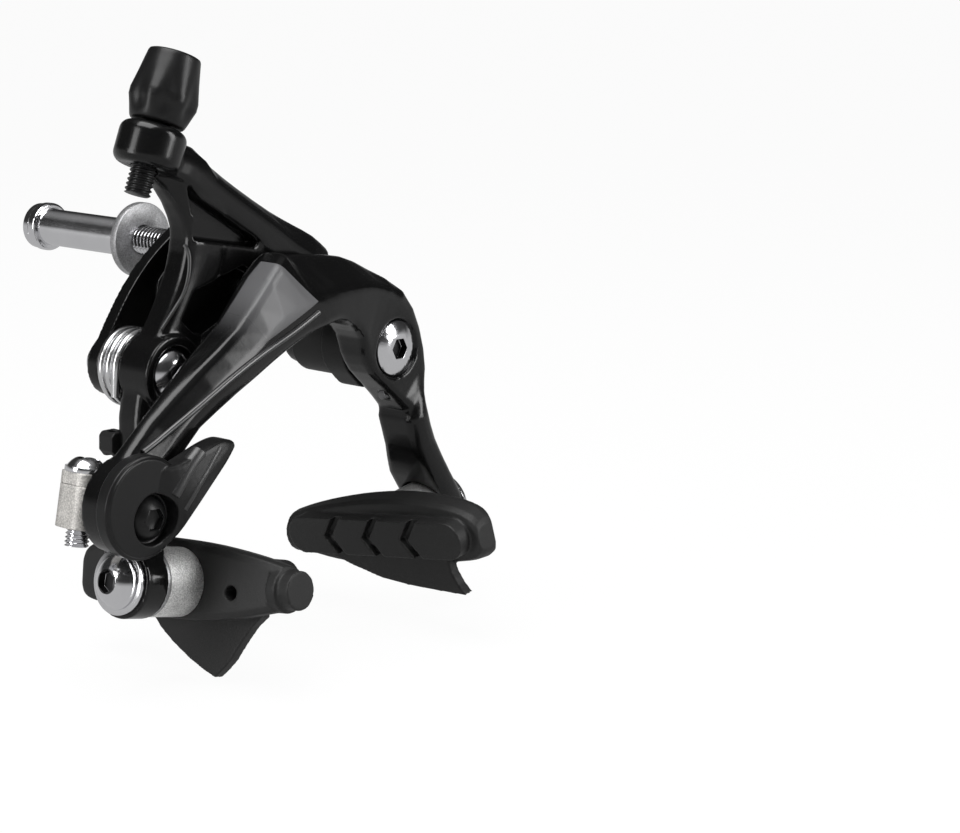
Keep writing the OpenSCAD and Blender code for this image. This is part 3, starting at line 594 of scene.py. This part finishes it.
def turned(profile: Sequence[tuple[float, float]], steps: int) -> bmesh.types.BMesh:
    """A shape turned about Z.

    Args:
        profile: the radius and height of each point, in millimetres.
        steps: how many facets it has around.
    Returns:
        The mesh, in metres, closed where the profile meets the axis.
    """
    bm = bmesh.new()
    verts = [bm.verts.new((r * MM, 0, z * MM)) for r, z in profile]
    edges = [bm.edges.new(pair) for pair in zip(verts, verts[1:])]
    bmesh.ops.spin(bm, geom=[*verts, *edges], cent=(0, 0, 0), axis=(0, 0, 1), angle=2 * math.pi,
                   steps=steps, use_merge=True, use_duplicate=False)
    bmesh.ops.remove_doubles(bm, verts=bm.verts, dist=1e-6)
    bmesh.ops.recalc_face_normals(bm, faces=bm.faces)
    return bm


def screw_thread(length: float, radius: float, pitch: float, depth: float,
                 steps: int = 28) -> bmesh.types.BMesh:
    """A helical thread along +Z from 0, with its ends closed.

    Args:
        length: how far it runs, in millimetres.
        radius: its outer radius.
        pitch: its rise in one turn.
        depth: how deep it is cut.
        steps: facets in a turn.
    Returns:
        The mesh, in metres.
    """
    bm = bmesh.new()
    low = radius - depth
    outline = [(low, 0), (low, 0.12), (radius, 0.44), (radius, 0.58), (low, 0.9), (low, 1)]
    verts = [bm.verts.new((r * MM, 0, z * pitch * MM)) for r, z in outline]
    edges = [bm.edges.new(pair) for pair in zip(verts, verts[1:])]
    turns = math.ceil(length / pitch) + 1
    bmesh.ops.spin(bm, geom=[*verts, *edges], cent=(0, 0, 0), axis=(0, 0, 1),
                   dvec=(0, 0, pitch * MM / steps), angle=2 * math.pi * turns,
                   steps=steps * turns, use_merge=False, use_duplicate=False)
    bmesh.ops.remove_doubles(bm, verts=bm.verts, dist=1e-6)
    bmesh.ops.recalc_face_normals(bm, faces=bm.faces)
    bmesh.ops.translate(bm, verts=bm.verts, vec=(0, 0, -pitch * MM))
    keep_side(bm, Vector((0, 0, 0)), Vector((0, 0, -1)))
    keep_side(bm, Vector((0, 0, length * MM)), Vector((0, 0, 1)))
    return bm


def aimed(bm: bmesh.types.BMesh, spot: Vector, axis: Vector) -> None:
    """Turns a mesh's +Z to an axis and moves its origin to a spot.

    Args:
        bm: the mesh.
        spot: the new origin, in millimetres.
        axis: the way that +Z then points.
    """
    turn = Vector((0, 0, 1)).rotation_difference(axis).to_matrix().to_4x4()
    bmesh.ops.transform(bm, matrix=Matrix.Translation(spot * MM) @ turn, verts=bm.verts)


def traced(skin: bpy.types.Object, trace: Sequence[tuple[float, float]],
           lift: float) -> list[Vector]:
    """A smooth path over the front of a skin.

    Args:
        skin: the object whose front carries the path.
        trace: places in X and Z that the path passes, in millimetres.
        lift: how far the path stands in front of the skin, in millimetres.
    Returns:
        The path's points, in millimetres.
    """
    bpy.context.view_layer.update()
    tree = BVHTree.FromObject(skin, bpy.context.evaluated_depsgraph_get())
    spots = [Vector((x, 0, z)) for x, z in trace]
    ends = [2 * spots[0] - spots[1], *spots, 2 * spots[-1] - spots[-2]]
    path = []
    for i in range(1, len(ends) - 2):
        for step in range(TRACE_STEPS):
            t = step / TRACE_STEPS
            a, b, c, d = ends[i - 1:i + 3]
            spot = 0.5 * (2 * b + (c - a) * t + (2 * a - 5 * b + 4 * c - d) * t ** 2
                          + (3 * b - a - 3 * c + d) * t ** 3)
            hit = tree.ray_cast(Vector((spot.x * MM, -0.08, spot.z * MM)), Vector((0, 1, 0)))[0]
            if hit is not None:
                path.append(hit / MM - Vector((0, lift, 0)))
    for _ in range(3):
        path[1:-1] = [(a + 2 * b + c) / 4 for a, b, c in zip(path, path[1:], path[2:])]
    return path


def fit(obj: bpy.types.Object, body: Body, finish: Finish,
        replaced: Iterable[str] = ()) -> bpy.types.Object:
    """Dresses a piece, lets it ride on its body and lets it stand for its CAD nodes.

    Args:
        obj: the piece, in place.
        body: the body that carries it.
        finish: its finish.
        replaced: the CAD nodes that it stands for.
    Returns:
        The same object.
    """
    obj.data.materials.clear()
    obj.data.materials.append(finish.material())
    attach(obj, body.value)
    for node in replaced:
        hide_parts(node)
    log.info("%s rides on %s, %d faces", obj.name, body.value, len(obj.data.polygons))
    return obj


def machined(node: str, body: Body, finish: Finish, width: float) -> bpy.types.Object:
    """A turned or milled piece: the CAD node with its edges broken.

    Args:
        node: the CAD node.
        body: the body that carries it.
        finish: its finish.
        width: the rounding of its edges, in millimetres.
    Returns:
        The piece.
    """
    bm = node_mesh(node)
    rounded(bm, width)
    return fit(settle(node + "_part", bm), body, finish, [node])


def socket_shade(node: str, body: Body, eye: Vector, axis: Vector, radius: float) -> bpy.types.Object:
    """A near-black sheet over the wall and floor of a bolt's hexagon socket: painted shade in the
    recess.

    Args:
        node: the bolt.
        body: the body that carries it.
        eye: a point on the socket's axis, just under its floor, in millimetres.
        axis: the way the socket opens.
        radius: just over the socket's corner radius, in millimetres.
    Returns:
        The painted shade, a hair in front of the bolt's own faces.
    """
    bm = node_mesh(node)
    heights = {v: (v.co / MM - eye).dot(axis) for v in bm.verts}
    arms = {v: v.co / MM - eye - axis * heights[v] for v in bm.verts}
    past = {v for v in bm.verts if heights[v] < 0 or arms[v].length > radius}
    outside = [f for f in bm.faces if any(v in past for v in f.verts)]
    bmesh.ops.delete(bm, geom=outside, context="FACES")
    for v in bm.verts:
        v.co += (axis - arms[v]) * SOCKET_SHADE_GAP * MM
    return fit(settle(node + "_socket", bm, 20), body, SOCKET_SHADE)


def moulded(node: str, body: Body, finish: Finish, voxel: float, rounds: int) -> bpy.types.Object:
    """A forged, cast or moulded piece: the CAD node under one soft skin.

    Args:
        node: the CAD node.
        body: the body that carries it.
        finish: its finish.
        voxel: the skin's grain, in millimetres.
        rounds: how many times the skin is smoothed.
    Returns:
        The piece.
    """
    made = skinned(settle(node + "_part", node_mesh(node)), voxel, rounds)
    return fit(made, body, finish, [node])


# Sub-assemblies


@dataclass
class Mounting:
    """The bracket with the centre bolt and its nut, the pivot bolts, spacers and return springs."""

    bolt_r: float = 3.0
    thread_start: float = -5.0
    bolt_end: float = 30.2
    leg_front: float = -7.0
    # of each pair, the left one comes first
    pivots: tuple = ((-28.0, -20.3), (28.0, -20.3))
    sockets: tuple = (1.8, 2.2)
    socket_r: float = 2.5
    coils: tuple = (7.1, 5.6)
    wires: tuple = (0.9, 0.7)
    turns: tuple = (2.6, 3.5)
    tips: tuple = (-13.0, -13.6)
    spring_gap: float = 0.05
    tail_step: float = 1.6

    def build(self) -> None:
        """Builds every piece that is fixed to the fork."""
        moulded("mounting_bracket", Body.BRACKET, GLOSS, voxel=0.3, rounds=4)
        self.centre_bolt()
        machined("sleeve_nut", Body.BRACKET, CHROME, width=0.15)
        machined("mounting_washer", Body.BRACKET, SPECKLED, width=0.2)
        bolts = ("left_pivot_bolt", "right_pivot_bolt")
        for node in bolts:
            machined(node, Body.BRACKET, CHROME, width=0.14)
        for node, (x, z), depth in zip(bolts, self.pivots, self.sockets):
            eye = Vector((x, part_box(node)[0].y / MM + depth + 0.3, z))
            # painted shade inside the pivot bolt's socket
            socket_shade(node, Body.BRACKET, eye, Vector((0, -1, 0)), self.socket_r)
        for node in ("left_spacer", "right_spacer"):
            machined(node, Body.BRACKET, PLASTIC, width=0.1)
        self.springs()

    def centre_bolt(self) -> None:
        """The bolt's head as milled, and its thread cut to the end."""
        head = node_mesh("centre_bolt")
        keep_side(head, Vector((0, self.thread_start * MM, 0)), Vector((0, 1, 0)))
        rounded(head, width=0.2)
        fit(settle("centre_bolt_head", head), Body.BRACKET, CHROME, ["centre_bolt"])
        bm = screw_thread(self.bolt_end - self.thread_start, self.bolt_r, 1.0, 0.45)
        aimed(bm, Vector((0, self.thread_start, 0)), Vector((0, 1, 0)))
        fit(settle("centre_bolt_thread", bm, 50), Body.BRACKET, CHROME, ["centre_bolt"])

    def springs(self) -> None:
        """Both return springs, wound from round wire."""
        left, right = self.pivots
        starts = [self.leg_front - wire - self.spring_gap for wire in self.wires]
        path = self.coil(left, self.coils[0], starts[0], self.tips[0], self.turns[0], 180)
        x, z = left[0] - self.coils[0], left[1]
        path += [Vector((x - 0.02 * i, self.tips[0], z - self.tail_step * i)) for i in range(1, 4)]
        wire = drawn_wire("left_spring_wire", path, self.wires[0], 7)
        fit(wire, Body.BRACKET, SPRING, ["left_return_spring"])
        path = self.coil(right, self.coils[1], starts[1], self.tips[1], self.turns[1], 0)
        wire = drawn_wire("right_spring_wire", path, self.wires[1])
        fit(wire, Body.BRACKET, SPRING, ["right_return_spring"])

    @staticmethod
    def coil(at: tuple, r: float, y1: float, y2: float, turns: float, end: float,
             steps: int = 48) -> list[Vector]:
        """Points along a coil about Y.

        Args:
            at: the axis's place in X and Z.
            r: the coil's mean radius.
            y1: where it starts.
            y2: where it ends.
            turns: how many turns it makes.
            end: the angle at its end, in degrees.
            steps: points in a turn.
        Returns:
            The points, in millimetres.
        """
        count = int(turns * steps)
        spots = []
        for i in range(count + 1):
            t = i / count
            a = math.radians(end - 360 * turns * (1 - t))
            y = y1 + (y2 - y1) * t
            spots.append(Vector((at[0] + r * math.cos(a), y, at[1] + r * math.sin(a))))
        return spots


@dataclass
class RearArm:
    """The rear arm with its bush and spring stop."""

    voxel: float = 0.32
    # the ridge down the leg, in X and Z
    edge: tuple = ((-22.7, 5.0), (-22.4, 2.0), (-22.9, -1.5), (-24.3, -5.0), (-27.0, -8.6),
                   (-29.6, -12.0))

    def build(self) -> None:
        """Builds the arm and what is pressed into it."""
        skin = moulded("rear_arm", Body.REAR_ARM, GLOSS, voxel=self.voxel, rounds=6)
        edge = drawn_wire("rear_arm_edge", traced(skin, self.edge, -0.1), 0.4)
        # the edge's lighter paint is a painted highlight
        fit(edge, Body.REAR_ARM, RIDGE_HIGHLIGHT)
        machined("left_bush", Body.REAR_ARM, BRONZE, width=0.08)
        moulded("spring_stop", Body.REAR_ARM, PLASTIC, voxel=0.18, rounds=4)


@dataclass
class FrontArm:
    """The front arm with its bush, spring cover, centring screw and roller pin."""

    voxel: float = 0.32
    # the ridge below the flat, in X and Z
    rib: tuple = ((-0.3, -9.4), (-7.5, -12.6), (-16.3, -15.8), (-24.7, -19.6), (-34.7, -24.9),
                  (-42.6, -29.2), (-47.4, -31.5))

    def build(self) -> None:
        """Builds the arm and what is fixed to it."""
        # the arm's flat carries a painted softbox reflection
        skin = moulded("front_arm", Body.FRONT_ARM, GLOSS_WITH_SHEEN, voxel=self.voxel, rounds=6)
        rib = drawn_wire("front_arm_rib", traced(skin, self.rib, 0.15), 0.6)
        # the rib's lighter paint is a painted highlight
        fit(rib, Body.FRONT_ARM, RIDGE_HIGHLIGHT)
        machined("right_bush", Body.FRONT_ARM, BRONZE, width=0.08)
        moulded("spring_cover", Body.FRONT_ARM, PLASTIC, voxel=0.2, rounds=4)
        machined("centring_screw", Body.FRONT_ARM, DULL, width=0.1)
        machined("roller_pin", Body.FRONT_ARM, WASHER, width=0.08)
        machined("link_roller", Body.ROLLER, WASHER, width=0.1)


@dataclass
class Shoe:
    """One brake shoe: bolt, washers and pad."""

    side: str
    body: Body
    centre: tuple = (42.0, -28.0, -58.0)
    lean: float = math.radians(11)
    socket_floor: float = 7.7
    socket_r: float = 2.5

    def build(self) -> None:
        """Builds the shoe's pieces."""
        machined(f"{self.side}_shoe_bolt", self.body, CHROME, width=0.16)
        way = -1 if self.side == "left" else 1
        axis = Vector((way * math.cos(self.lean), 0, math.sin(self.lean)))
        x, y, z = self.centre
        eye = Vector((way * x, y, z)) + axis * self.socket_floor
        # painted shade inside the shoe bolt's socket
        socket_shade(f"{self.side}_shoe_bolt", self.body, eye, axis, self.socket_r)
        machined(f"{self.side}_bolt_washer", self.body, CHROME, width=0.16)
        machined(f"{self.side}_ball_washer", self.body, SPECKLED, width=0.2)
        machined(f"{self.side}_dish_washer", self.body, BLASTED, width=0.3)
        moulded(f"{self.side}_pad", self.body, RUBBER, voxel=0.22, rounds=6)


@dataclass
class Adjuster:
    """The threaded stem and its grip cap."""

    centre: tuple = (-30.5, -17.5, 23.5)
    lean: float = math.radians(20.7)
    stem_r: float = 2.6
    low: float = -9.5
    top: float = 10.6
    cap_low: float = 4.6
    cap_h: float = 14.0
    cap_r: float = 6.9
    bore_r: float = 2.6
    flutes: int = 7
    cap_steps: int = 168
    cap_rows: int = 30
    flute_depth: float = 0.8
    # share of the cap's height, and of its widest reach
    outline: tuple = ((0.0, 0.76), (0.09, 0.84), (0.3, 0.985), (0.4, 0.985), (0.66, 0.87),
                      (0.88, 0.785), (1.0, 0.74))

    def build(self) -> None:
        """Builds the stem with its thread, and the cap."""
        axis = Vector((math.sin(self.lean), 0, math.cos(self.lean)))
        bm = screw_thread(self.top - self.low, self.stem_r, 0.9, 0.38)
        aimed(bm, Vector(self.centre) + axis * self.low, axis)
        fit(settle("adjuster_stem_thread", bm, 50), Body.STEM, THREAD, ["adjuster_stem"])
        self.cap(axis)

    def cap(self, axis: Vector) -> None:
        """The grip cap, turned and hollowed between soft lands, with the cable housing's bore.

        Args:
            axis: the adjuster's axis.
        """
        h, r, bore, rows = self.cap_h, self.cap_r, self.bore_r, self.cap_rows
        profile = [(self.stem_r + 0.2, 0.8), (self.stem_r + 0.4, 0.0)]
        profile += [(r * 0.7, 0.0), (r * 0.76, 0.2)]
        profile += [(self.swell(i / rows) * r, i / rows * h) for i in range(1, rows)]
        profile += [(r * 0.745, h * 0.975), (r * 0.725, h * 0.993), (r * 0.69, h)]
        profile += [(bore + 0.3, h), (bore, h - 0.3), (bore, h - 6.0), (0.0, h - 6.0)]
        bm = turned(profile, self.cap_steps)
        for v in bm.verts:
            around = math.atan2(v.co.y, v.co.x)
            if v.co.xy.length > (bore + 1) * MM:
                valley = (0.5 - 0.5 * math.cos(self.flutes * around)) ** 1.2
                v.co.xy -= v.co.xy.normalized() * self.hollow(v.co.z / MM / h) * valley * MM
        aimed(bm, Vector(self.centre) + axis * self.cap_low, axis)
        fit(settle("adjuster_cap_grip", bm, 40), Body.CAP, SATIN, ["adjuster_cap"])

    def swell(self, t: float) -> float:
        """The cap's reach.

        Args:
            t: the share of its height.
        Returns:
            The reach, as a share of its widest.
        """
        for (t0, r0), (t1, r1) in zip(self.outline, self.outline[1:]):
            if t <= t1:
                return r0 + (r1 - r0) * (t - t0) / (t1 - t0)
        return self.outline[-1][1]

    def hollow(self, t: float) -> float:
        """The depth of the cap's flutes, greatest below its widest row.

        Args:
            t: the share of its height.
        Returns:
            The depth, in millimetres.
        """
        up = min(max(t / 0.28, 0.0), 1.0)
        down = min(max((0.92 - t) / 0.64, 0.0), 1.0)
        return self.flute_depth * up * up * (3 - 2 * up) * down ** 2


@dataclass
class QuickRelease:
    """The release lever with its bolt."""

    # the crest along the tail's hollow and the band beside its edge, in X and Z
    crest: tuple = ((-37.4, -31.9), (-39.7, -33.7), (-41.4, -35.5), (-42.9, -37.4), (-44.2, -39.2))
    band: tuple = ((-33.3, -31.4), (-35.1, -33.2), (-36.8, -35.0), (-38.4, -36.6), (-39.8, -38.1),
                   (-41.4, -40.3), (-42.4, -41.9))

    def build(self) -> None:
        """Builds the lever with its two ridges, and its bolt."""
        skin = moulded("release_lever", Body.LEVER, SATIN, voxel=0.18, rounds=5)
        crest = drawn_wire("release_lever_crest", traced(skin, self.crest, -1.5), 1.7)
        # the crest's lighter paint is a painted highlight
        fit(crest, Body.LEVER, SATIN_RIDGE_HIGHLIGHT)
        band = drawn_wire("release_lever_band", traced(skin, self.band, -0.84), 1.0)
        # the band's lighter paint is a painted highlight
        fit(band, Body.LEVER, SATIN_RIDGE_HIGHLIGHT)
        machined("release_bolt", Body.LEVER, SATIN, width=0.14)


@dataclass
class CableAnchor:
    """The cable's clamp block, its plate and its screw."""

    screw: tuple = (-2.8, -24.1)
    screw_r: float = 2.3
    # the screw's thread along its axis
    low: float = -8.7
    top: float = -4.0
    centre: tuple = (-51.1, -41.2)
    lean: float = math.radians(10)

    def build(self) -> None:
        """Builds the anchor's pieces."""
        moulded("cable_anchor", Body.ANCHOR, CASTING, voxel=0.16, rounds=3)
        moulded("anchor_plate", Body.ANCHOR, CASTING, voxel=0.12, rounds=3)
        axis = Vector((math.sin(self.lean), 0, math.cos(self.lean)))
        side = Vector((math.cos(self.lean), 0, -math.sin(self.lean)))
        foot = Vector((self.centre[0], self.screw[1], self.centre[1])) + side * self.screw[0]
        head = node_mesh("anchor_screw")
        keep_side(head, (foot + axis * self.top) * MM, -axis)
        rounded(head, width=0.16)
        fit(settle("anchor_screw_head", head), Body.ANCHOR, CHROME, ["anchor_screw"])
        bm = screw_thread(self.top - self.low, self.screw_r, 0.8, 0.36)
        aimed(bm, foot + axis * self.low, axis)
        fit(settle("anchor_screw_thread", bm, 50), Body.ANCHOR, CHROME, ["anchor_screw"])


@dataclass
class Studio:
    """The floor, the soft lights, the white surroundings and the camera."""

    azimuth: float = math.radians(-51.656)
    elevation: float = math.radians(11.182)
    roll: float = math.radians(1.738)
    spot: tuple = (-349.034, -351.732, 63.457)
    lens: float = 89.64
    floor_reach: float = 40.0
    mirrored_floor: float = 0.52
    white_share: float = 0.95
    plain_light: float = 0.3
    # the sky's height from 0 to 1 and its grey there, as mirrors see it
    sky: tuple = ((0.0, 0.42), (0.07, 0.36), (0.2, 0.035), (0.7, 0.03), (1.0, 0.35))
    # place and aim in metres, width, height and power
    lamps: tuple = (
        ((-0.20, -0.05, 0.55), (-0.02, -0.02, 0.0), 0.5, 0.5, 4.5),
        ((-0.60, 0.10, 0.12), (-0.02, -0.02, -0.02), 0.2, 0.5, 1.8),
        ((0.30, -0.60, 0.22), (0.0, -0.02, -0.02), 0.22, 0.45, 2.4),
    )

    def build(self, floor_height: float) -> None:
        """Builds the studio.

        Args:
            floor_height: the floor's height, in metres.
        """
        self.floor(floor_height)
        for number, lamp in enumerate(self.lamps):
            self.lamp(f"softbox_{number}", *lamp)
        self.surroundings()
        self.camera()
        bpy.context.scene.view_settings.view_transform = "Standard"

    def floor(self, height: float) -> None:
        """A plain pale floor: white to the camera, dimmer in mirrors, with a faint shadow.

        Args:
            height: the floor's height, in metres.
        """
        bm = bmesh.new()
        bmesh.ops.create_grid(bm, x_segments=1, y_segments=1, size=self.floor_reach)
        bmesh.ops.translate(bm, verts=bm.verts, vec=(0, 0, height))
        made = settle("floor", bm)
        paint = bpy.data.materials.new("pale_floor")
        shader = Shader(paint)
        own = shader.surface(Base_Color=grey(0.86), Roughness=0.9, Specular_IOR_Level=0.1)
        dim = shader.glow("ShaderNodeEmission", grey(1.0), self.mirrored_floor)
        white = shader.glow("ShaderNodeEmission", grey(1.0), 1.0)
        mirrored = shader.mixed(shader.ray("Is Glossy Ray"), own, dim)
        shader.end(shader.mixed(shader.seen() * self.white_share, mirrored, white))
        made.data.materials.append(paint)

    @staticmethod
    def lamp(name: str, place: tuple, aim: tuple, width: float, height: float,
             power: float) -> None:
        """A soft rectangular lamp.

        Args:
            name: its name.
            place: where it stands, in metres.
            aim: what it faces, in metres.
            width: its width, in metres.
            height: its height, in metres.
            power: its power, in watts.
        """
        light = bpy.data.lights.new(name, "AREA")
        light.shape = "RECTANGLE"
        light.size = width
        light.size_y = height
        light.energy = power
        made = bpy.data.objects.new(name, light)
        made.location = place
        made.rotation_mode = "QUATERNION"
        made.rotation_quaternion = (Vector(aim) - Vector(place)).to_track_quat("-Z", "Y")
        bpy.context.scene.collection.objects.link(made)

    def surroundings(self) -> None:
        """A white surround for the camera, a banded one for mirrors, a soft one for the rest."""
        world = bpy.data.worlds.new("studio")
        bpy.context.scene.world = world
        shader = Shader(world)
        way = shader.node("ShaderNodeTexCoord", output="Generated")
        height = shader.node("ShaderNodeSeparateXYZ", {}, {0: way}, 2)
        bands = shader.node("ShaderNodeValToRGB", {"stops": self.sky}, {0: height})
        plain = shader.glow("ShaderNodeBackground", grey(1.0), self.plain_light)
        mirror = shader.glow("ShaderNodeBackground", bands, 1.0)
        white = shader.glow("ShaderNodeBackground", grey(1.0), 1.0)
        unseen = shader.mixed(shader.ray("Is Glossy Ray"), plain, mirror)
        shader.end(shader.mixed(shader.seen(), unseen, white))

    def camera(self) -> None:
        """The camera at the photograph's viewing angle."""
        a, e, r = self.azimuth, self.elevation, self.roll
        back = Vector((math.sin(a) * math.cos(e), -math.cos(a) * math.cos(e), math.sin(e)))
        level = Vector((math.cos(a), math.sin(a), 0))
        upright = back.cross(level)
        right = level * math.cos(r) + upright * math.sin(r)
        up = upright * math.cos(r) - level * math.sin(r)
        data = bpy.data.cameras.new("camera")
        data.lens = self.lens
        data.sensor_width = 36
        data.clip_start = 0.01
        made = bpy.data.objects.new("camera", data)
        turn = Matrix((right, up, back)).transposed().to_4x4()
        made.matrix_world = Matrix.Translation(Vector(self.spot) * MM) @ turn
        bpy.context.scene.collection.objects.link(made)
        bpy.context.scene.camera = made


def main() -> None:
    """Builds the brake's pieces and the studio, in order."""
    logging.basicConfig(level=logging.INFO, format="%(name)s: %(message)s")
    parts = (
        Mounting(),
        RearArm(),
        FrontArm(),
        Shoe("left", Body.REAR_ARM),
        Shoe("right", Body.FRONT_ARM),
        Adjuster(),
        QuickRelease(),
        CableAnchor(),
    )
    for part in parts:
        part.build()
    Studio().build(CAD_BOX[0].z - MM)
    bpy.context.view_layer.update()


if __name__ == "__main__":
    main()
